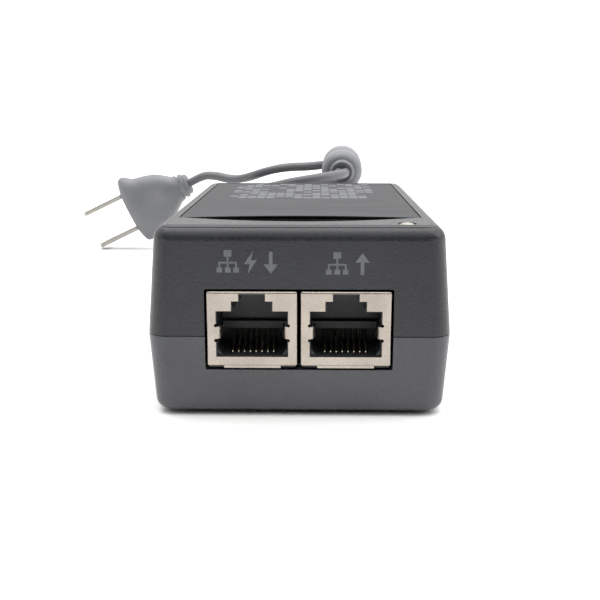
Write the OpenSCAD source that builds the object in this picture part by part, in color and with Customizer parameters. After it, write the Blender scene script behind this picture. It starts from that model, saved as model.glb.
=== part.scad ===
// Two-port power over Ethernet injector with a fixed two-blade mains lead.
// Millimetres. Origin: middle of the case's footprint, on the surface it stands on.
// +X right, +Y towards the mains end, +Z up. The two network ports face -Y.

/* [Case] */
// Width of the case at its parting line
case_w = 52; // [51:0.5:54]
// Length of the case, ports to mains end
case_l = 84; // [83:0.5:88]
// Height of the case's top face above the table
case_h = 33; // [33:0.5:36]
// Height of the parting line above the table
parting_z = 14.3; // [13.8:0.1:14.8]
// Wall thickness of both shells
wall = 2; // [1.6:0.1:2.2]
// Radius of the upright corners
corner_r = 3.5; // [3:0.1:5]
// Radius of the rounded top edge
edge_r = 2.6; // [2:0.1:3]
// How far the sides lean in from the parting line to the top edge
side_draft = 1.2; // [0.8:0.1:1.4]
// How far the two ends lean in from the parting line to the top edge
end_draft = 0.5; // [0.3:0.1:0.8]
// Gap under the case, which is how far the feet stand out
foot_gap = 0.6; // [0.4:0.1:0.8]

/* [Label] */
// Width of the label
label_w = 43; // [40:0.5:43]
// Distance from the port end to the label's straight front edge
label_start = 12.6; // [12:0.2:14]
// Length of the label
label_l = 67; // [60:1:67]
// Depth of the label's recess
label_recess = 0.3; // [0.2:0.05:0.4]

/* [Ports] */
// Distance between the two port centres
port_pitch = 15.9; // [15.8:0.05:16.1]
// Width of one shielded jack
jack_w = 15.4; // [15.2:0.05:15.6]
// Height of one shielded jack above the circuit board
jack_h = 13.3; // [13.2:0.05:13.5]
// Length of one jack, front to back
jack_l = 18; // [17:0.5:19]
// Distance between two contact wires
contact_pitch = 1.016; // [1:0.002:1.03]
// Slope of the contact wires at rest, in degrees
contact_slope = 24.6; // [23:0.1:25]

/* [Circuit board] */
// Width of the circuit board
board_w = 45.6; // [44:0.2:46]
// Length of the circuit board
board_l = 76; // [74:0.5:77]
// Height of the board's component side above the table
board_top = 8.8; // [8.6:0.1:9]
// Thickness of the board
board_t = 1.6; // [1.2:0.1:1.6]

/* [Mains lead] */
// Width of the flat twin lead
cord_w = 4.8; // [4.6:0.1:5]
// Thickness of the flat twin lead
cord_t = 2.9; // [2.8:0.1:3]
// Diameter of the stored coil at the middle of its turns
coil_d = 48; // [48:1:50]
// Layers of turns in the coil, one above the other
coil_layers = 5; // [3:1:5]
// Distance between the two plug blades
blade_pitch = 12.7; // [12.7]
// How far the blades stand out of the plug
blade_l = 16; // [15.9:0.1:18]

/* [Hidden] */

front_y = -case_l / 2;
rear_y = case_l / 2;
jack_gap = 0.35;                    // case opening clearance round the jacks
board_front = front_y + 2.8;
board_bottom = board_top - board_t;
post_x = 19.4;
post_ys = [front_y + 11, rear_y - 9];
post_r = 2.8;
screw_r = 1.25;
screw_head_z = 1.2;                 // underside of the screw heads
led_pos = [18.3, front_y + 4.6];
lead_exit = [14, rear_y, parting_z];
relief_l = 20;

// contact wires, in a jack's own frame: y from its front face, z from the board
wire_r = 0.23;
wire_pivot = [3, 2.3];
wire_l = 7.9;

// coil, in the part's frame
coil_centre = [-6, 104];
coil_base = 0.45;
coil_h = coil_layers * (cord_w + 0.05);
tube_r = (cord_w + cord_t) / 4 + 0.2;

// plug pose: place of the cable end of its collar, then turns about its own axes
plug_end = [-42.9, 138.1, 24.1];
plug_turns = [89.5, 25.7, 179.2];        // roll, nose down, heading
collar_l = 24;                      // face of the plug to the end of its collar

// choke on the lead, lying across the top of the coil
choke_r = 6.3;
choke_l = 26;
choke_front = [11, 91, 31.6];
choke_turns = [2.5, 0, -1.5];

run_route = [
    [14, 39, 14.3], [14, 50, 14.3], [14, 62, 14.3], [14.1, 68, 13.5], [14.6, 75, 10.9],
    [15.8, 82, 7.6], [17.4, 89, 4.8], [18.8, 96, 3.2], [19.4, 104, 2.9]
];
tail_route = [
    [-22, 88, 22.3], [-17.5, 83, 24.5], [-11.5, 78, 27], [-4, 74.6, 29.2], [2, 75.2, 30.4],
    [7.2, 78.6, 31.2], [10.2, 84, 31.5], [11, 91, 31.6]
];
plug_route = [
    [11.7, 117, 32.7], [11.2, 120.4, 32.8], [9.2, 123.8, 32.3], [5.3, 126.3, 31.5], [0, 127.3, 30.9],
    [-5.2, 127.6, 30.7], [-10, 128, 30.1], [-14.5, 129, 29], [-18.5, 130.6, 27.6], [-22.2, 132.8, 26.4],
    [-25.8, 135, 25.8], [-29.4, 136.8, 26], [-33.2, 137.7, 26.7], [-37.5, 138.1, 26.6], [-42.9, 138.1, 24.1]
];

function smooth(p, k, t) =          // Catmull-Rom point between p[k] and p[k + 1]
    let (
        a = p[max(k - 1, 0)],
        b = p[k],
        c = p[k + 1],
        d = p[min(k + 2, len(p) - 1)]
    )
    0.5 * (2 * b + (c - a) * t + (2 * a - 5 * b + 4 * c - d) * t * t + (3 * b - a - 3 * c + d) * t * t * t);

function fine(p, steps) = [
    for (k = [0 : len(p) - 2])
        for (s = [0 : steps - 1])
            smooth(p, k, s / steps),
    p[len(p) - 1]
];

function unit(v) = v / norm(v);

function ring(centre, way, r, sides) =
    let (
        across = unit(cross(way, [0, 0, 1])),
        up = cross(across, way)
    )
    [for (i = [0 : sides - 1]) centre + r * (cos(360 * i / sides) * across + sin(360 * i / sides) * up)];

// A tube swept along a route of points
module swept_tube(route, r, sides = 8) {
    last = len(route) - 1;
    rings = [
        for (k = [0 : last])
            ring(route[k], unit(route[min(k + 1, last)] - route[max(k - 1, 0)]), r, sides)
    ];
    walls = [
        for (k = [0 : last - 1])
            for (i = [0 : sides - 1])
                for (half = [0, 1])
                    let (
                        j = (i + 1) % sides,
                        a = k * sides + i,
                        b = k * sides + j
                    )
                    half == 0 ? [a, b, b + sides] : [a, b + sides, a + sides]
    ];
    caps = [
        [for (i = [sides - 1 : -1 : 0]) i],
        [for (i = [0 : sides - 1]) last * sides + i]
    ];
    polyhedron([for (one = rings) each one], concat(walls, caps), convexity = 6);
}

// Corner points of a rectangle with round corners
function round_rect(w, l, r) = [
    for (q = [0 : 3])
        for (a = [0 : 15 : 90])
            let (sx = (q == 0 || q == 3) ? 1 : -1, sy = q < 2 ? 1 : -1)
            [sx * (w / 2 - r) + r * cos(q * 90 + a), sy * (l / 2 - r) + r * sin(q * 90 + a)]
];

module plate(w, l, r, z, t = 0.01) {
    translate([0, 0, z])
        linear_extrude(t)
            polygon(round_rect(w, l, r));
}

// Case outline drawn in by an inset and by a share of the draft
module case_slice(z, inset, draft) {
    plate(
        case_w - 2 * (inset + draft * side_draft),
        case_l - 2 * (inset + draft * end_draft),
        max(corner_r - inset, 1),
        z
    );
}

module upper_form(inset) {
    straight_top = case_h - edge_r;
    hull() {
        case_slice(parting_z - (inset > 0 ? 0.5 : 0), inset, 0);
        for (a = [0 : 22.5 : 90])
            case_slice(straight_top - inset + edge_r * sin(a) - 0.01, inset + edge_r * (1 - cos(a)), 1);
    }
}

module lower_form(inset) {
    bend_r = 2;
    base = foot_gap + inset;
    hull() {
        case_slice(parting_z - 0.01 + (inset > 0 ? 0.5 : 0), inset, 0);
        for (a = [0 : 30 : 90])
            case_slice(base + bend_r * (1 - cos(a)), inset + bend_r * (1 - sin(a)), 0.7);
    }
}

module at_posts() {
    for (sx = [-1, 1])
        for (y = post_ys)
            translate([sx * post_x, y, 0])
                children();
}

module jack_opening() {
    w = port_pitch + jack_w + 2 * jack_gap;
    translate([-w / 2, front_y - 2, board_top - 0.4])
        cube([w, wall + 4, jack_h + 0.4 + jack_gap]);
}

module lead_hole() {
    translate([lead_exit[0], rear_y - wall - 3, lead_exit[2]])
        rotate([-90, 0, 0])
            cylinder(r = 4, h = wall + 6, $fn = 48);
}

module rim(inset, z, h) {
    difference() {
        plate(case_w - 2 * inset, case_l - 2 * inset, corner_r - inset, z, h);
        plate(case_w - 2 * wall, case_l - 2 * wall, corner_r - wall, z - 1, h + 2);
    }
}

module lower_case() {
    color("dimgray")
    difference() {
        union() {
            difference() {
                lower_form(0);
                lower_form(wall);
            }
            rim(wall * 0.55, parting_z - 1.5, 2.6);
            at_posts()
                translate([0, 0, foot_gap + wall - 0.5])
                    cylinder(r = post_r, h = board_bottom - foot_gap - wall + 0.5, $fn = 36);
        }
        at_posts() {
            translate([0, 0, -1])
                cylinder(r = 1.6, h = 20, $fn = 32);
            translate([0, 0, -1])
                cylinder(r = 2.5, h = 1 + screw_head_z + 1.7, $fn = 32);
            translate([0, 0, -1])
                cylinder(r = 3.5, h = 1 + foot_gap + 0.4, $fn = 48);
        }
        jack_opening();
        lead_hole();
    }
}

// Shallow scoop in front of the label: a wide round cutter that dips towards the label
module label_scoop() {
    scoop_r = 243;
    dip = 10;
    translate([0, front_y + label_start - 5.4, case_h])
        rotate([-dip, 0, 0])
            translate([0, 0, scoop_r])
                rotate([-90, 0, 0])
                    cylinder(r = scoop_r, h = 5.7, $fn = 360);
}

module upper_case() {
    color("#46474a")
    difference() {
        union() {
            difference() {
                upper_form(0);
                upper_form(wall);
            }
            at_posts()
                translate([0, 0, board_top])
                    cylinder(r = post_r, h = case_h - wall + 0.5 - board_top, $fn = 36);
        }
        difference() {
            plate(case_w - wall, case_l - wall, corner_r - wall / 2, parting_z - 1, 2.2);
            at_posts()
                cylinder(r = post_r, h = 40, $fn = 36);
        }
        at_posts()
            translate([0, 0, board_top - 1])
                cylinder(r = 1.1, h = 12, $fn = 32);
        translate([-label_w / 2 - 0.2, front_y + label_start, case_h - label_recess])
            cube([label_w + 0.4, label_l + 0.4, 2]);
        label_scoop();
        translate([led_pos[0], led_pos[1], case_h - 6])
            cylinder(r = 1.6, h = 10, $fn = 40);
        jack_opening();
        lead_hole();
    }
}

module top_label() {
    color("#2b2c2e")
    translate([-label_w / 2, front_y + label_start + 0.2, case_h - label_recess + 0.02])
        cube([label_w, label_l, 0.22]);
}

module rubber_feet() {
    color("#202020")
    at_posts()
        rotate_extrude($fn = 48)
            polygon([[0, 0], [2.9, 0], [3.4, 0.35], [3.4, foot_gap + 0.38], [0, foot_gap + 0.38]]);
}

module case_screws() {
    color("silver")
    at_posts() {
        translate([0, 0, screw_head_z])
            difference() {
                cylinder(r = 2.3, h = 1.6, $fn = 32);
                translate([-1.2, -0.25, -0.1])
                    cube([2.4, 0.5, 0.8]);
                translate([-0.25, -1.2, -0.1])
                    cube([0.5, 2.4, 0.8]);
            }
        translate([0, 0, screw_head_z + 1.5])
            cylinder(r = screw_r, h = 13.5, $fn = 32);
        translate([0, 0, screw_head_z + 15])
            cylinder(r1 = screw_r, r2 = 0.5, h = 1.5, $fn = 32);
    }
}

module at_jacks() {
    for (side = [-1, 1])
        translate([side * port_pitch / 2, front_y, board_top])
            children();
}

function wire_x(i) = (i - 3.5) * contact_pitch;
function pin_y(i) = i % 2 == 0 ? 12.2 : 14.7;

module circuit_board() {
    color("darkgreen")
    difference() {
        translate([-board_w / 2, board_front, board_bottom])
            cube([board_w, board_l, board_t]);
        at_posts()
            translate([0, 0, board_bottom - 1])
                cylinder(r = 1.6, h = board_t + 2, $fn = 32);
        at_jacks() {
            for (i = [0 : 7])
                translate([wire_x(i), pin_y(i), -5])
                    cylinder(r = 0.4, h = 7, $fn = 16);
            for (sx = [-1, 1])
                translate([sx * 5.7, 8.5, -5])
                    cylinder(r = 1.3, h = 7, $fn = 24);
            for (sx = [-1, 1])
                translate([sx * (jack_w / 2 - 0.15) - 0.35, 12, -5])
                    cube([0.7, 2, 7]);
        }
        for (sx = [-1, 1])
            translate([led_pos[0] + sx * 1.27, led_pos[1], board_bottom - 1])
                cylinder(r = 0.45, h = 4, $fn = 16);
    }
}

module insulation_sheet() {
    color("#e8e2c8")
    difference() {
        translate([-20.5, front_y + 22, foot_gap + wall + 0.05])
            cube([41, 55, 0.25]);
        at_posts()
            cylinder(r = post_r + 0.4, h = 10, $fn = 36);
    }
}

// One jack is drawn with its front face at y = 0, its middle at x = 0 and the board at z = 0
module jack_window(depth) {
    cavity_w = 12.24;
    translate([-cavity_w / 2, -1, 1.95])
        cube([cavity_w, depth, 7.95]);
    translate([-3.5, -1, 9])
        cube([7, depth, 2.6]);
    translate([-2.25, -1, 9])
        cube([4.5, depth, 3.9]);
}

module jack_shield() {
    color("#c8beb2")
    {
        t = 0.3;
        difference() {
            translate([-jack_w / 2, 0, 0.25])
                cube([jack_w, jack_l, jack_h - 0.25]);
            translate([-jack_w / 2 + t, t, -1])
                cube([jack_w - 2 * t, jack_l - 2 * t, jack_h - t + 1]);
            jack_window(t + 2);
            for (sx = [-1, 1])
                for (z = [4.8, 7.4])
                    translate([sx * 6.15, -1, z])
                        rotate([-90, 0, 0])
                            cylinder(r = 0.28, h = t + 1.5, $fn = 24);
        }
        translate([-4.85, 0, -0.05])
            cube([9.7, t, 0.5]);
        for (sx = [-1, 1])
            mirror([sx < 0 ? 1 : 0, 0, 0]) {
                translate([jack_w / 2 - 0.3, 12.3, -2.6])
                    cube([0.3, 1.4, 3]);
                translate([6.2, 0.1, 5])
                    rotate([0, 0, 15])
                        cube([0.25, 3.2, 2.2]);
            }
    }
}

module jack_housing() {
    color("#1d1e20")
    difference() {
        translate([-jack_w / 2 + 0.35, 0.35, 0.05])
            cube([jack_w - 0.7, jack_l - 0.75, jack_h - 0.4]);
        translate([-5.95, -1, 2.1])
            cube([11.9, 10.5, 7.65]);
        translate([-3.3, -1, 9])
            cube([6.6, 9.2, 2.5]);
        translate([-2.1, -1, 9])
            cube([4.2, 9.2, 3.6]);
        for (sx = [-1, 1])
            translate([sx * 6.05 - 0.4, -1, 4.6])
                cube([0.8, 5.4, 3]);
        for (i = [0 : 7])
            translate([wire_x(i) - 0.34, 0, 0]) {
                translate([0, 2.2, 0.85])
                    cube([0.68, 8, 1.4]);
                translate([0, 9.4, 0.85])
                    cube([0.68, 1.75, 5.6]);
                translate([0, 9.4, 0.85])
                    cube([0.68, pin_y(i) - 9, 0.7]);
                translate([0, pin_y(i) - 0.34, -1])
                    cube([0.68, 0.68, 2.5]);
            }
        translate([-6, 11.2, 2.2])
            cube([12, jack_l, 7.4]);
    }
    color("#1d1e20")
    for (sx = [-1, 1])
        translate([sx * 5.7, 8.5, -3])
            cylinder(r = 1.2, h = 3.2, $fn = 24);
}

module jack_insert() {
    color("#26272a")
    difference() {
        translate([-5.9, 11.4, 2.3])
            cube([11.8, 5.9, 7.2]);
        for (sx = [-1, 1])
            translate([sx * 3.4 - 1.4, 12.6, 6])
                cube([2.8, 6, 2.2]);
    }
}

module jack_pins() {
    color("gold")
    for (i = [0 : 7])
        translate([wire_x(i), 0, 1.2]) {
            translate([0, 2.7, 0])
                cylinder(r = wire_r, h = 0.6, $fn = 16);
            translate([0, 2.7, 0])
                rotate([-90, 0, 0])
                    cylinder(r = wire_r, h = pin_y(i) - 2.7, $fn = 16);
            translate([0, 2.7, 0])
                sphere(r = wire_r, $fn = 16);
            translate([0, pin_y(i), -4.6])
                cylinder(r = wire_r, h = 4.6 + wire_r, $fn = 16);
        }
}

module jack_contacts() {
    color("gold")
    for (i = [0 : 7])
        translate([wire_x(i), wire_pivot[0], wire_pivot[1]])
            rotate([contact_slope - 90, 0, 0]) {
                sphere(r = wire_r, $fn = 16);
                cylinder(r = wire_r, h = wire_l, $fn = 16);
            }
}

module left() {
    translate([-port_pitch / 2, front_y, board_top])
        children();
}

module right() {
    translate([port_pitch / 2, front_y, board_top])
        children();
}

module status_led() {
    color("#d8d4c8")
    translate([led_pos[0], led_pos[1], 0])
        rotate_extrude($fn = 40)
            polygon(concat(
                [[0, 28.6], [1.75, 28.6], [1.75, 29.6], [1.5, 29.6]],
                [for (a = [0 : 15 : 90]) [1.5 * cos(a), case_h - 0.7 + 0.9 * sin(a)]]
            ));
}

module led_legs() {
    color("silver")
    for (sx = [-1, 1])
        translate([led_pos[0] + sx * 1.27 - 0.25, led_pos[1] - 0.25, board_bottom - 1.6])
            cube([0.5, 0.5, 28.6 - board_bottom + 1.6]);
}

module led_spacer() {
    color("#191919")
    translate([led_pos[0], led_pos[1], board_top])
        difference() {
            cylinder(r = 2, h = 28.5 - board_top, $fn = 32);
            for (sx = [-1, 1])
                translate([sx * 1.27, 0, -1])
                    cylinder(r = 0.42, h = 30, $fn = 16);
        }
}

module on_board(x, y) {
    translate([x, y, board_top + 0.02])
        children();
}

module can(r, h) {
    rotate_extrude($fn = 48)
        polygon([[0, 0], [r - 0.3, 0], [r, 0.4], [r, 1.6], [r - 0.35, 2.1], [r, 2.6],
                 [r, h - 0.5], [r - 0.5, h], [0, h]]);
}

module disc_part(r, t) {
    translate([0, t / 2, r + 1.2])
        rotate([90, 0, 0])
            cylinder(r = r, h = t, $fn = 36);
    for (sx = [-1, 1])
        translate([sx * 2.5, 0, 0])
            cylinder(r = 0.3, h = 3, $fn = 16);
}

module input_fuse() {
    color("saddlebrown")
    on_board(18.2, 25.2)
        cylinder(r = 3.6, h = 7.5, $fn = 40);
}

module surge_thermistor() {
    color("darkolivegreen")
    on_board(16.4, 17.6)
        disc_part(4.4, 3.4);
}

module mains_filter_capacitor() {
    color("gold")
    on_board(-7.4, 32)
        difference() {
            translate([-6.5, -3, 0])
                cube([13, 6, 12]);
            translate([-5.5, -2, -0.1])
                cube([11, 4, 0.9]);
        }
}

choke_core_r = 5;
choke_wire_r = 2.1;

module line_choke_core() {
    color("#3b3f42")
    on_board(6, 26.4)
        translate([0, 0, choke_core_r + choke_wire_r + 1.2])
            rotate([90, 0, 0])
                rotate_extrude($fn = 64)
                    translate([choke_core_r, 0])
                        circle(r = choke_wire_r, $fn = 32);
}

module line_choke_windings() {
    color("peru")
    on_board(6, 26.4)
        translate([0, 0, choke_core_r + choke_wire_r + 1.2])
            rotate([90, 0, 0])
                for (start = [-62, 118])
                    rotate([0, 0, start])
                        rotate_extrude(angle = 124, $fn = 64)
                            translate([choke_core_r, 0])
                                difference() {
                                    circle(r = choke_wire_r + 0.75, $fn = 32);
                                    circle(r = choke_wire_r + 0.05, $fn = 32);
                                }
}

module bridge_rectifier() {
    color("#222222")
    on_board(3.2, 17)
    {
        translate([-4.2, -3.2, 0.6])
            cube([8.4, 6.4, 3]);
        for (sx = [-1, 1])
            for (sy = [-1, 1])
                translate([sx * 2.5 - 0.3, sy * 3.35 - 0.2, 0])
                    cube([0.6, 0.4, 1.8]);
    }
}

module bulk_capacitor() {
    color("#2d3560")
    on_board(14.6, 5.6)
        can(6.25, 20);
}

module heatsink(l) {
    color("lightgray")
    {
        cube([1.5, l, 17]);
        translate([-2.2, 0, 15.5])
            cube([3, l, 1.5]);
    }
}

module power_tab() {
    color("#202020")
    difference() {
        union() {
            cube([3.2, 10, 9.5]);
            translate([0, 0, 9])
                cube([1.2, 10, 5.8]);
        }
        translate([-1, 5, 12.2])
            rotate([0, 90, 0])
                cylinder(r = 1.7, h = 4, $fn = 24);
    }
    color("silver")
    for (k = [-1 : 1])
        translate([1.4, 5 + 2.54 * k - 0.4, -3])
            cube([0.5, 0.8, 3.2]);
}

module primary_heatsink() {
    on_board(-20.3, 4)
        heatsink(18);
}

module switching_transistor() {
    on_board(-18.7, 8)
        translate([0, 0, 3])
            power_tab();
}

module output_heatsink() {
    on_board(-20.3, -17)
        heatsink(16);
}

module output_rectifier() {
    on_board(-18.7, -14)
        translate([0, 0, 3])
            power_tab();
}

module transformer_core() {
    color("#3a3a3c")
    on_board(-3.4, 3.4)
        difference() {
            translate([-11, -3.2, 1.6])
                cube([22, 6.4, 18.4]);
            for (sx = [-1, 1])
                translate([sx * 5.6 - 2.6, -5, 4.6])
                    cube([5.2, 10, 12.4]);
        }
}

module transformer_bobbin() {
    color("#151515")
    on_board(-3.4, 3.4)
        difference() {
            union() {
                for (z = [4.8, 15.8])
                    translate([-8, -8.6, z])
                        cube([16, 17.2, 1]);
                translate([-4.2, -4.6, 4.8])
                    cube([8.4, 9.2, 12]);
                for (sy = [-1, 1])
                    translate([-8, sy * 7.4 - 1.2, 0])
                        cube([16, 2.4, 5]);
            }
            translate([-3.05, -3.3, 0])
                cube([6.1, 6.6, 30]);
        }
}

module transformer_winding() {
    color("khaki")
    on_board(-3.4, 3.4)
        difference() {
            translate([-7.2, -7.8, 5.9])
                cube([14.4, 15.6, 9.8]);
            translate([-4.3, -4.7, 5])
                cube([8.6, 9.4, 12]);
        }
}

module safety_capacitor() {
    color("#3f6fb0")
    on_board(5.6, -8.4)
        disc_part(3.6, 2.8);
}

module output_capacitors() {
    color("#1f2022")
    for (x = [-11.2, -2])
        on_board(x, -14.4)
            can(4, 14);
}

module output_inductor() {
    color("#44474a")
    on_board(6.6, -16.6)
        rotate_extrude($fn = 40)
            polygon([[0, 0], [4, 0], [4, 1.6], [2.9, 1.6], [2.9, 8.4], [4, 8.4], [4, 10], [0, 10]]);
}

module dip_chip(l, pins) {
    translate([-3.2, -l / 2, 0.5])
        cube([6.4, l, 3.3]);
    for (sx = [-1, 1])
        for (k = [0 : pins - 1])
            translate([sx * 3.5 - 0.28, (k - (pins - 1) / 2) * 2.54 - 0.25, 0])
                cube([0.56, 0.5, 2]);
}

module optocoupler() {
    color("#ececec")
    on_board(14.6, -6.4)
        dip_chip(4.6, 2);
}

module control_chip() {
    color("#1c1c1c")
    on_board(14.6, -15.6)
        dip_chip(9.6, 4);
}

module resistors() {
    color("tan")
    for (y = [14.4, 18.2, 22, 25.8])
        on_board(-8.6, y)
            translate([0, 0, 1.2])
                rotate([0, 90, 0])
                    cylinder(r = 1.15, h = 6.2, center = true, $fn = 28);
}

module mains_wires() {
    for (side = [-1, 1])
        color(side < 0 ? "saddlebrown" : "steelblue")
        swept_tube(fine([
            [14 + side * 1.1, 38.8, 14.3], [14 + side * 1.2, 37.4, 14.2], [14 + side * 1.6, 35.6, 13.2],
            [14 + side * 2, 34.6, 11.4], [14 + side * 2, 34.3, 8.9]
        ], 2), 0.8);
}

module strain_relief() {
    color("#333436")
    translate([lead_exit[0], 0, lead_exit[2]])
        rotate([-90, 0, 0])
            rotate_extrude($fn = 48)
                polygon([
                    [2.5, rear_y - wall - 1.6], [4.7, rear_y - wall - 1.6], [4.7, rear_y - wall - 0.3],
                    [3.85, rear_y - wall - 0.3], [3.85, rear_y + 0.15], [5, rear_y + 0.15],
                    [5, rear_y + 1.4], [4.2, rear_y + 1.8], [3.2, rear_y + relief_l], [2.5, rear_y + relief_l]
                ]);
}

module lead_run() {
    color("#3c3d40")
    swept_tube(fine(run_route, 2), tube_r);
}

module lead_coil() {
    color("#3c3d40")
    translate([coil_centre[0], coil_centre[1], coil_base])
        rotate_extrude($fn = 72)
            translate([coil_d / 2 - cord_t - 0.05, 0])
                square([2 * cord_t + 0.1, coil_h]);
}

module coil_tie() {
    tie_t = 0.4;
    inner = [2 * cord_t + 0.5, 4, coil_h + 0.1];
    color("#141414")
    translate([coil_centre[0], coil_centre[1], 0])
        rotate([0, 0, 68])
            translate([coil_d / 2, 0, 0])
                difference() {
                    translate([-inner[0] / 2 - tie_t, -2, 0])
                        cube([inner[0] + 2 * tie_t, inner[1], coil_base + coil_h + 0.5]);
                    translate([-inner[0] / 2, -3, coil_base - 0.03])
                        cube([inner[0], 6, inner[2]]);
                }
}

module lead_choke() {
    color("#37383b")
    translate(choke_front)
        rotate(choke_turns)
            rotate([-90, 0, 0])
                rotate_extrude($fn = 48)
                    polygon([
                        [2.6, 0], [4.6, 0], [choke_r - 0.6, 1.2], [choke_r, 2.6],
                        [choke_r, choke_l - 2.6], [choke_r - 0.6, choke_l - 1.2],
                        [4.6, choke_l], [2.6, choke_l]
                    ]);
}

module lead_tail() {
    color("#3c3d40") {
        swept_tube(fine(tail_route, 2), tube_r);
        swept_tube(fine(plug_route, 2), tube_r);
    }
}

module at_plug() {
    translate(plug_end)
        rotate([0, 0, plug_turns[2]])
            rotate([0, plug_turns[1], 0])
                rotate([plug_turns[0], 0, 0])
                    translate([collar_l, 0, 0])
                        children();
}

// An outline's points and their mirror image, in one closed round
function both_sides(half) = concat(half, [for (k = [len(half) - 1 : -1 : 0]) [half[k][0], -half[k][1]]]);

module plug_body() {
    wing = [[0, 9], [-0.8, 12], [-2.2, 12.6], [-4, 12.1], [-6.5, 10.6], [-14, 8.6], [-19, 5.2], [-22, 5]];
    cheek = [[0, 4.6], [-2.2, 5.4], [-8, 5.6], [-15, 5], [-19.5, 4.2], [-22, 3.9]];
    color("#4a4b4e")
    at_plug() {
        intersection() {
            translate([0, 0, -10])
                linear_extrude(20)
                    polygon(both_sides(wing));
            rotate([90, 0, 0])
                translate([0, 0, -20])
                    linear_extrude(40)
                        polygon(both_sides(cheek));
        }
        translate([-collar_l, 0, 0])
            rotate([0, 90, 0])
                cylinder(r = 3.9, h = 3, $fn = 36);
    }
}

module plug_blades() {
    color("silver")
    at_plug()
        for (sy = [-1, 1])
            difference() {
                translate([0.02, sy * blade_pitch / 2 - 0.75, -3.15])
                    cube([blade_l, 1.5, 6.3]);
                translate([blade_l - 4.8, sy * blade_pitch / 2, 0])
                    rotate([90, 0, 0])
                        cylinder(r = 1.6, h = 4, center = true, $fn = 32);
            }
}

lower_case();
upper_case();
top_label();
rubber_feet();
case_screws();
circuit_board();
insulation_sheet();
left() jack_shield();  // left_jack_shield
left() jack_housing();  // left_jack_housing
left() jack_insert();  // left_jack_insert
left() jack_pins();  // left_jack_pins
left() jack_contacts();  // left_contacts
right() jack_shield();  // right_jack_shield
right() jack_housing();  // right_jack_housing
right() jack_insert();  // right_jack_insert
right() jack_pins();  // right_jack_pins
right() jack_contacts();  // right_contacts
status_led();
led_legs();
led_spacer();
input_fuse();
surge_thermistor();
mains_filter_capacitor();
line_choke_core();
line_choke_windings();
bridge_rectifier();
bulk_capacitor();
switching_transistor();
primary_heatsink();
transformer_core();
transformer_bobbin();
transformer_winding();
safety_capacitor();
output_rectifier();
output_heatsink();
output_capacitors();
output_inductor();
optocoupler();
control_chip();
resistors();
mains_wires();
strain_relief();
lead_run();
lead_coil();
coil_tie();
lead_choke();
lead_tail();
plug_body();
plug_blades();
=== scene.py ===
# Two-port network power injector with its mains lead stored in a coil.
import math

import bmesh
import bpy
from mathutils import Matrix, Vector


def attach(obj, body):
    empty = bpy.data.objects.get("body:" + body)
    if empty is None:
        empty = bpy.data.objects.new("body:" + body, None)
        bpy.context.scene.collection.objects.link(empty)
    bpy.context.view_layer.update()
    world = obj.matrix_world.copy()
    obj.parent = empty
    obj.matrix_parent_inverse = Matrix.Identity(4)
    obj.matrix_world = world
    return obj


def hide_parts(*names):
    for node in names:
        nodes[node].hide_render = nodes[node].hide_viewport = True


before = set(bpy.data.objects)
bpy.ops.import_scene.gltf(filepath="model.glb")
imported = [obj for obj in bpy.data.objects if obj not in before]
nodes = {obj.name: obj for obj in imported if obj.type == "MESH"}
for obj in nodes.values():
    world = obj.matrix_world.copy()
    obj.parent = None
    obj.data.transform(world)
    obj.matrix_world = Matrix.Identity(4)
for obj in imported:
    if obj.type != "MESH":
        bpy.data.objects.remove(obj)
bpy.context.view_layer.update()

mm = 0.001  # the tables below are in millimetres unless a note says metres
scene = bpy.context.scene
print("frame loaded,", len(nodes), "nodes")

# camera

cameraView = {
    "place": (0.00256, -0.18970, 0.05341),  # metres
    "tilt": 77.51,
    "turn": 0.92,
    "lens": 54.1,
    "sensor": 36,
}
cameraData = bpy.data.cameras.new("camera")
cameraData.lens = cameraView["lens"]
cameraData.sensor_width = cameraView["sensor"]
cameraData.clip_start = 0.01
camera = bpy.data.objects.new("camera", cameraData)
camera.location = cameraView["place"]
camera.rotation_euler = (math.radians(cameraView["tilt"]), 0, math.radians(cameraView["turn"]))
scene.collection.objects.link(camera)
scene.camera = camera
print("camera set")

# making meshes


def newPiece(name, points, faces, unit=1.0):
    mesh = bpy.data.meshes.new(name)
    mesh.from_pydata([Vector(p) * unit for p in points], [], faces)
    work = bmesh.new()
    work.from_mesh(mesh)
    bmesh.ops.remove_doubles(work, verts=work.verts, dist=1e-7)
    bmesh.ops.dissolve_degenerate(work, edges=work.edges, dist=1e-8)
    bmesh.ops.recalc_face_normals(work, faces=work.faces)
    work.to_mesh(mesh)
    work.free()
    piece = bpy.data.objects.new(name, mesh)
    scene.collection.objects.link(piece)
    return piece


# Joins rings of points into a skin; caps close its two ends, around joins the last ring to the first
def loft(name, rings, caps=True, around=False, unit=1.0):
    count = len(rings[0])
    last = len(rings) - (0 if around else 1)
    faces = []
    for k in range(last):
        for i in range(count):
            j = (i + 1) % count
            a, b = k * count, (k + 1) % len(rings) * count
            faces.append((a + i, a + j, b + j, b + i))
    if caps and not around:
        faces.append(tuple(range(count))[::-1])
        faces.append(tuple((len(rings) - 1) * count + i for i in range(count)))
    return newPiece(name, [p for ring in rings for p in ring], faces, unit)


def lathe(name, profile, sides=64, around=False):
    rings = []
    for radius, height in profile:
        turn = [2 * math.pi * i / sides for i in range(sides)]
        rings.append([(radius * math.cos(a), radius * math.sin(a), height) for a in turn])
    return loft(name, rings, caps=not around, around=around, unit=mm)


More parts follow.
